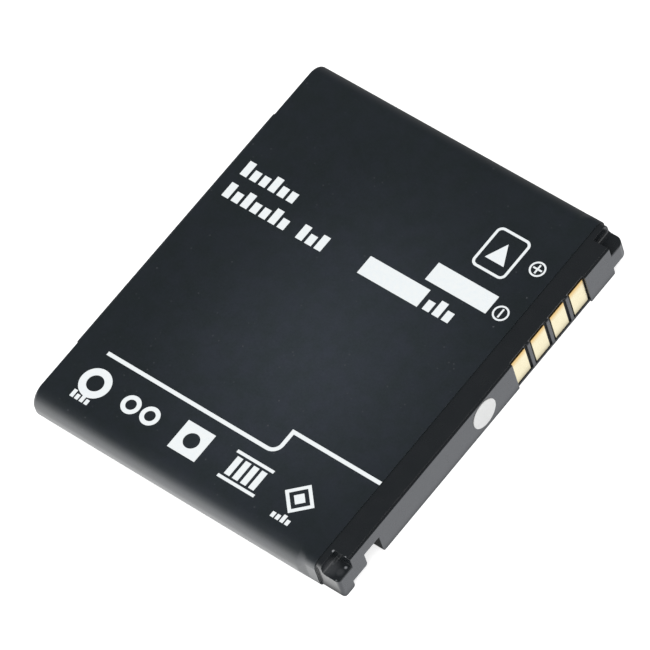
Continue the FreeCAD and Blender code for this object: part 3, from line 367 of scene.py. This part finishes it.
METALS = {
    "can_metal": ((0.74, 0.75, 0.77, 1), (0.84, 0.85, 0.87, 1), (0.28, 0.4)),
    "nickel": ((0.66, 0.64, 0.6, 1), (0.76, 0.74, 0.7, 1), (0.25, 0.36)),
}
PLAINS = {
    "insulator": ((0.8, 0.81, 0.76, 1), (0.88, 0.89, 0.85, 1), 0.5, 0.8, 0.0),
    "gasket": ((0.7, 0.72, 0.75, 1), (0.8, 0.82, 0.85, 1), 0.45, 1.2, 0.0),
    "tape": ((0.68, 0.36, 0.04, 1), (0.8, 0.47, 0.07, 1), 0.3, 0.5, 0.4),
    "fuse_body": ((0.5, 0.51, 0.53, 1), (0.6, 0.61, 0.63, 1), 0.5, 1.5, 0.0),
    "board": (grey(0.008), (0.012, 0.014, 0.013, 1), 0.5, 1.0, 0.0),
    "chip_plastic": (grey(0.025), grey(0.04), 0.5, 2.5, 0.0),
    "chip_ceramic": ((0.4, 0.31, 0.22, 1), (0.5, 0.41, 0.32, 1), 0.4, 3.0, 0.0),
}
ROLL = grey(0.07), (0.2, 0.2, 0.21, 1)


def metal_material(name, dark, light, rough_range):
    """Bare metal with a drawn or rolled grain."""
    made, nodes = material(name)
    streak = nodes.noise(nodes.place((0.1, 1, 1)), 6.0, 3)
    surface(
        nodes, Base_Color=nodes.between(streak, dark, light), Metallic=1.0,
        Roughness=nodes.between(streak, *rough_range), Normal=nodes.bump(streak, 0.1, 0.01))
    return made


def plain_material(name, dark, light, roughness, scale, coat):
    """Moulded, coated or laminated surface with mottling and a fine grain."""
    made, nodes = material(name)
    place = nodes.place()
    mottle = nodes.noise(place, scale, 3)
    surface(
        nodes, Base_Color=nodes.between(mottle, dark, light), Roughness=roughness,
        Coat_Weight=coat, Normal=nodes.bump(nodes.noise(place, scale * 6, 2), 0.15, 0.01))
    return made


def roll_material():
    """Coated foil and separator wound flat: fine turns show on the ends."""
    made, nodes = material("roll_foil")
    bands = nodes.add(
        "TexWave", {"bands_direction": "Z"}, Vector=nodes.place(), Scale=3.2, Distortion=0.6)
    turns = bands.outputs["Fac"]
    surface(
        nodes, Base_Color=nodes.between(turns, *ROLL), Roughness=0.55,
        Normal=nodes.bump(turns, 0.2, 0.03))
    return made


def make_materials():
    """One material for each slot of the record."""
    made = {
        "label_film": film_material(),
        "print_ink": ink_material(),
        "cap_plastic": cap_material(),
        "contact_gold": gold_material(),
        "spot_paper": spot_material(),
        "roll_foil": roll_material(),
    }
    made.update((name, metal_material(name, *values)) for name, values in METALS.items())
    made.update((name, plain_material(name, *values)) for name, values in PLAINS.items())
    return made


def dress(materials):
    """Give every piece of the frame the material of its slot."""
    for part in frame["record"]["subparts"]:
        for slot in frame["nodes"][part["node"]].material_slots:
            slot.material = materials[part["material_slot"]]


# Studio

FLOOR_SIZE = 3.0
FLOOR_GREY = 0.8
FLOOR_LIFT = 0.72
# Floor brightness in reflections, under the pack and on each side of it.
GLOSS_UNDER, GLOSS_BEHIND, GLOSS_NEAR, GLOSS_AWAY = 0.1, 0.2, 1.5, 2.4
GLOSS_FRONT = (1.1 * 0.98, 1.1, 1.1 * 1.05, 1)
# Where the brightness changes, outwards from the pack's sides, in millimetres.
RIM_MM, AWAY_MM = (-0.6, 0.4), (1, 6)

WORLD_LIGHT = 0.75
STUDIO_DARK = 0.06
# Studio brightness in reflections by height, over the near side, the front and elsewhere.
STUDIO_NEAR = (0.0, 1.95), (0.2, 1.4), (0.42, 0.76), (0.6, 0.19), (0.75, STUDIO_DARK)
STUDIO_FRONT = (0.0, 1.8), (0.12, 1.5), (0.4, 0.4), (0.6, STUDIO_DARK)
STUDIO_ELSEWHERE = (0.0, GLOSS_BEHIND), (0.25, 0.15), (0.5, STUDIO_DARK)
NEAR_FADE, FRONT_FADE = (-0.15, -0.5), (0.68, 0.88)

KEY_AZIMUTH, KEY_ELEVATION = CAMERA_AZIMUTH - 40, 60
KEY_DISTANCE, KEY_SIZE, KEY_POWER = 0.9, 0.5, 2.2


def floor_gloss(nodes):
    """Floor colour in reflections: dark under the pack, dim behind it, bright before it."""
    place = nodes.place()

    def beyond(axis, side, span=RIM_MM):
        """0 inside one side of the pack (0 low, 1 high) and 1 outside it."""
        rim = CAD_BOX[side]["XYZ".index(axis)] / MM
        outwards = 1 if side else -1
        low, high = (rim + outwards * step for step in span)
        return nodes.fade(nodes.axis(place, axis), low, high)

    hidden = nodes.math("MAXIMUM", beyond("Y", 1), beyond("X", 0))
    gloss = nodes.blend(hidden, grey(GLOSS_UNDER), grey(GLOSS_BEHIND))
    near = nodes.blend(beyond("Y", 0, AWAY_MM), grey(GLOSS_NEAR), grey(GLOSS_AWAY))
    gloss = nodes.blend(beyond("Y", 0), gloss, near)
    return nodes.blend(beyond("X", 1), gloss, GLOSS_FRONT)


def floor_material():
    """White to the camera and in reflections, and takes the shadow."""
    made, nodes = material("floor")
    path = nodes.add("LightPath").outputs
    seen = nodes.math("MULTIPLY", path["Is Camera Ray"], FLOOR_LIFT)
    lit = nodes.add("AddShader")
    nodes.put(lit, "0", nodes.add("BsdfDiffuse", Color=grey(FLOOR_GREY)).outputs[0])
    nodes.put(lit, "1", nodes.add("Emission", Color=grey(1.0), Strength=seen).outputs[0])
    mirrored = nodes.math("MAXIMUM", path["Is Glossy Ray"], path["Is Transmission Ray"])
    shown = nodes.add("MixShader", Fac=mirrored)
    nodes.put(shown, "1", lit.outputs[0])
    nodes.put(shown, "2", nodes.add("Emission", Color=floor_gloss(nodes)).outputs[0])
    nodes.add("OutputMaterial", Surface=shown.outputs[0])
    return made


def make_floor():
    mesh = bpy.data.meshes.new("floor")
    build = bmesh.new()
    bmesh.ops.create_grid(build, x_segments=1, y_segments=1, size=FLOOR_SIZE / 2)
    build.to_mesh(mesh)
    build.free()
    mesh.materials.append(floor_material())
    floor = bpy.data.objects.new("floor", mesh)
    floor.location.z = CAD_BOX[0][2]
    bpy.context.scene.collection.objects.link(floor)


def make_world():
    """Even light from all round, white to the camera, a darker studio in reflections."""
    world = bpy.data.worlds.new("studio")
    world.use_nodes = True
    bpy.context.scene.world = world
    nodes = Nodes(world.node_tree)
    path = nodes.add("LightPath").outputs
    heading = nodes.add("TexCoord").outputs["Generated"]
    height = nodes.axis(heading, "Z")
    near = nodes.fade(nodes.axis(heading, "Y"), *NEAR_FADE)
    front = nodes.fade(nodes.axis(heading, "X"), *FRONT_FADE)
    studio = nodes.blend(
        front, nodes.ramp(height, *STUDIO_ELSEWHERE), nodes.ramp(height, *STUDIO_FRONT))
    studio = nodes.blend(near, studio, nodes.ramp(height, *STUDIO_NEAR))
    even = nodes.blend(path["Is Glossy Ray"], grey(WORLD_LIGHT), studio)
    colour = nodes.blend(path["Is Camera Ray"], even, grey(1.0))
    background = nodes.add("Background", Color=colour, Strength=1.0)
    nodes.add("OutputWorld", Surface=background.outputs[0])


def make_key_lamp():
    """Square soft lamp aimed at the middle of the pack."""
    data = bpy.data.lights.new("key", "AREA")
    data.size, data.energy = KEY_SIZE, KEY_POWER
    lamp = bpy.data.objects.new("key", data)
    look_at_pack(lamp, direction(KEY_AZIMUTH, KEY_ELEVATION), KEY_DISTANCE)


make_camera()
dress(make_materials())
bpy.context.scene.view_settings.view_transform = "Standard"
make_floor()
make_world()
make_key_lamp()
